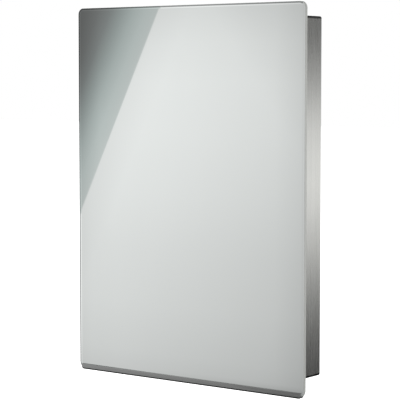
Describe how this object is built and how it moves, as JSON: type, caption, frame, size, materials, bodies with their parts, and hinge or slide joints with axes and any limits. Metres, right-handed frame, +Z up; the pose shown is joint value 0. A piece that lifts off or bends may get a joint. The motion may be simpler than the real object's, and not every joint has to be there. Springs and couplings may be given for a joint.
{
  "type": "mirror cabinet",
  "caption": "Slim wall-hung medicine cabinet: a brushed steel box with shelves behind a frameless mirror door on a side hinge, with a steel grip strip along the bottom of the glass.",
  "frame": {"origin": "centre of the cabinet's back face, on the wall", "axes": "+Y into the wall, so the mirror faces -Y; +Z up; +X to the right of a person facing the mirror"},
  "size_m": [0.3, 0.0512, 0.4],
  "materials": {
    "body_steel": "fine upright brushed grain, satin",
    "strip_steel": "brushed along its length, satin",
    "hinge_steel": "rolled stainless, slightly dull",
    "zinc_steel": "bright zinc plate",
    "clear_glass": "float glass with ground and polished edges",
    "silvering": "silvered, painted on the back",
    "shelf_glass": "float glass with ground edges",
    "foam_tape": "dull foam",
    "soft_rubber": "matt silicone",
    "grey_plastic": "finely moulded, matt",
    "magnet": "nickel plated"
  },
  "bodies": {
    "cabinet": {"body_leaf_rivets": "hinge_steel", "cabinet_body": "body_steel", "catch_housing_lower": "grey_plastic", "catch_housing_upper": "grey_plastic", "catch_magnet_lower": "magnet", "catch_magnet_upper": "magnet", "catch_screws": "zinc_steel", "door_bumpers": "soft_rubber", "glass_shelf_lower": "shelf_glass", "glass_shelf_upper": "shelf_glass", "hinge_body_leaf": "hinge_steel", "hinge_pin": "hinge_steel", "shelf_clip_lower_left": "zinc_steel", "shelf_clip_lower_right": "zinc_steel", "shelf_clip_upper_left": "zinc_steel", "shelf_clip_upper_right": "zinc_steel", "shelf_track_left": "body_steel", "shelf_track_right": "body_steel"},
    "door": {"mirror_glass": "clear_glass", "mirror_coat": "silvering", "mounting_tape": "foam_tape", "door_sheet": "body_steel", "door_inner_panel": "body_steel", "grip_strip": "strip_steel", "strip_gasket": "soft_rubber", "hinge_door_leaf": "hinge_steel", "door_leaf_rivets": "hinge_steel", "strike_plate_upper": "zinc_steel", "strike_plate_lower": "zinc_steel"}
  },
  "joints": [
    {"name": "door_hinge", "type": "hinge", "parent": "cabinet", "child": "door", "pos_m": [-0.1402, -0.0418, 0], "axis": [0, 0, -1], "range_deg": [0, 110]}
  ]
}
